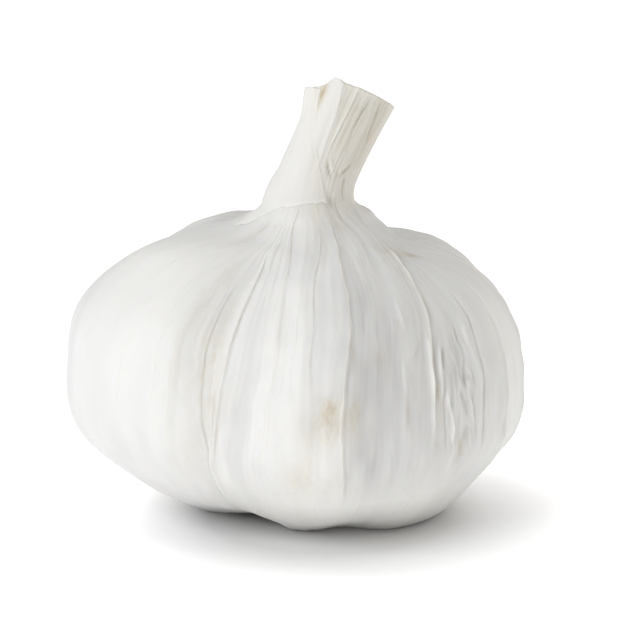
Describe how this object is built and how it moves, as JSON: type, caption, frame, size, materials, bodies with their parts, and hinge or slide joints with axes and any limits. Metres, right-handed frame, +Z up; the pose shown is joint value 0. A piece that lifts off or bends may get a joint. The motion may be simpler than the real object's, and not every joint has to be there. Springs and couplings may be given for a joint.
{
  "type": "garlic bulb",
  "caption": "Whole garlic bulb: cloves bulge under a papery skin that gathers into a leaning cut neck, with a root plate below.",
  "frame": {"origin": "on the surface the bulb stands on, under the middle of its box", "axes": "+Z up, +X to the right and +Y away, seen from the side where the neck leans right; the neck leans towards +X and a little +Y"},
  "size_m": [0.0578, 0.0566, 0.0549],
  "materials": {
    "papery_skin": "matt, faintly ribbed, with a slight sheen",
    "root_cork": "matt and corky"
  },
  "bodies": {
    "root": {"bulb": "papery_skin", "root_plate": "root_cork"}
  },
  "joints": []
}
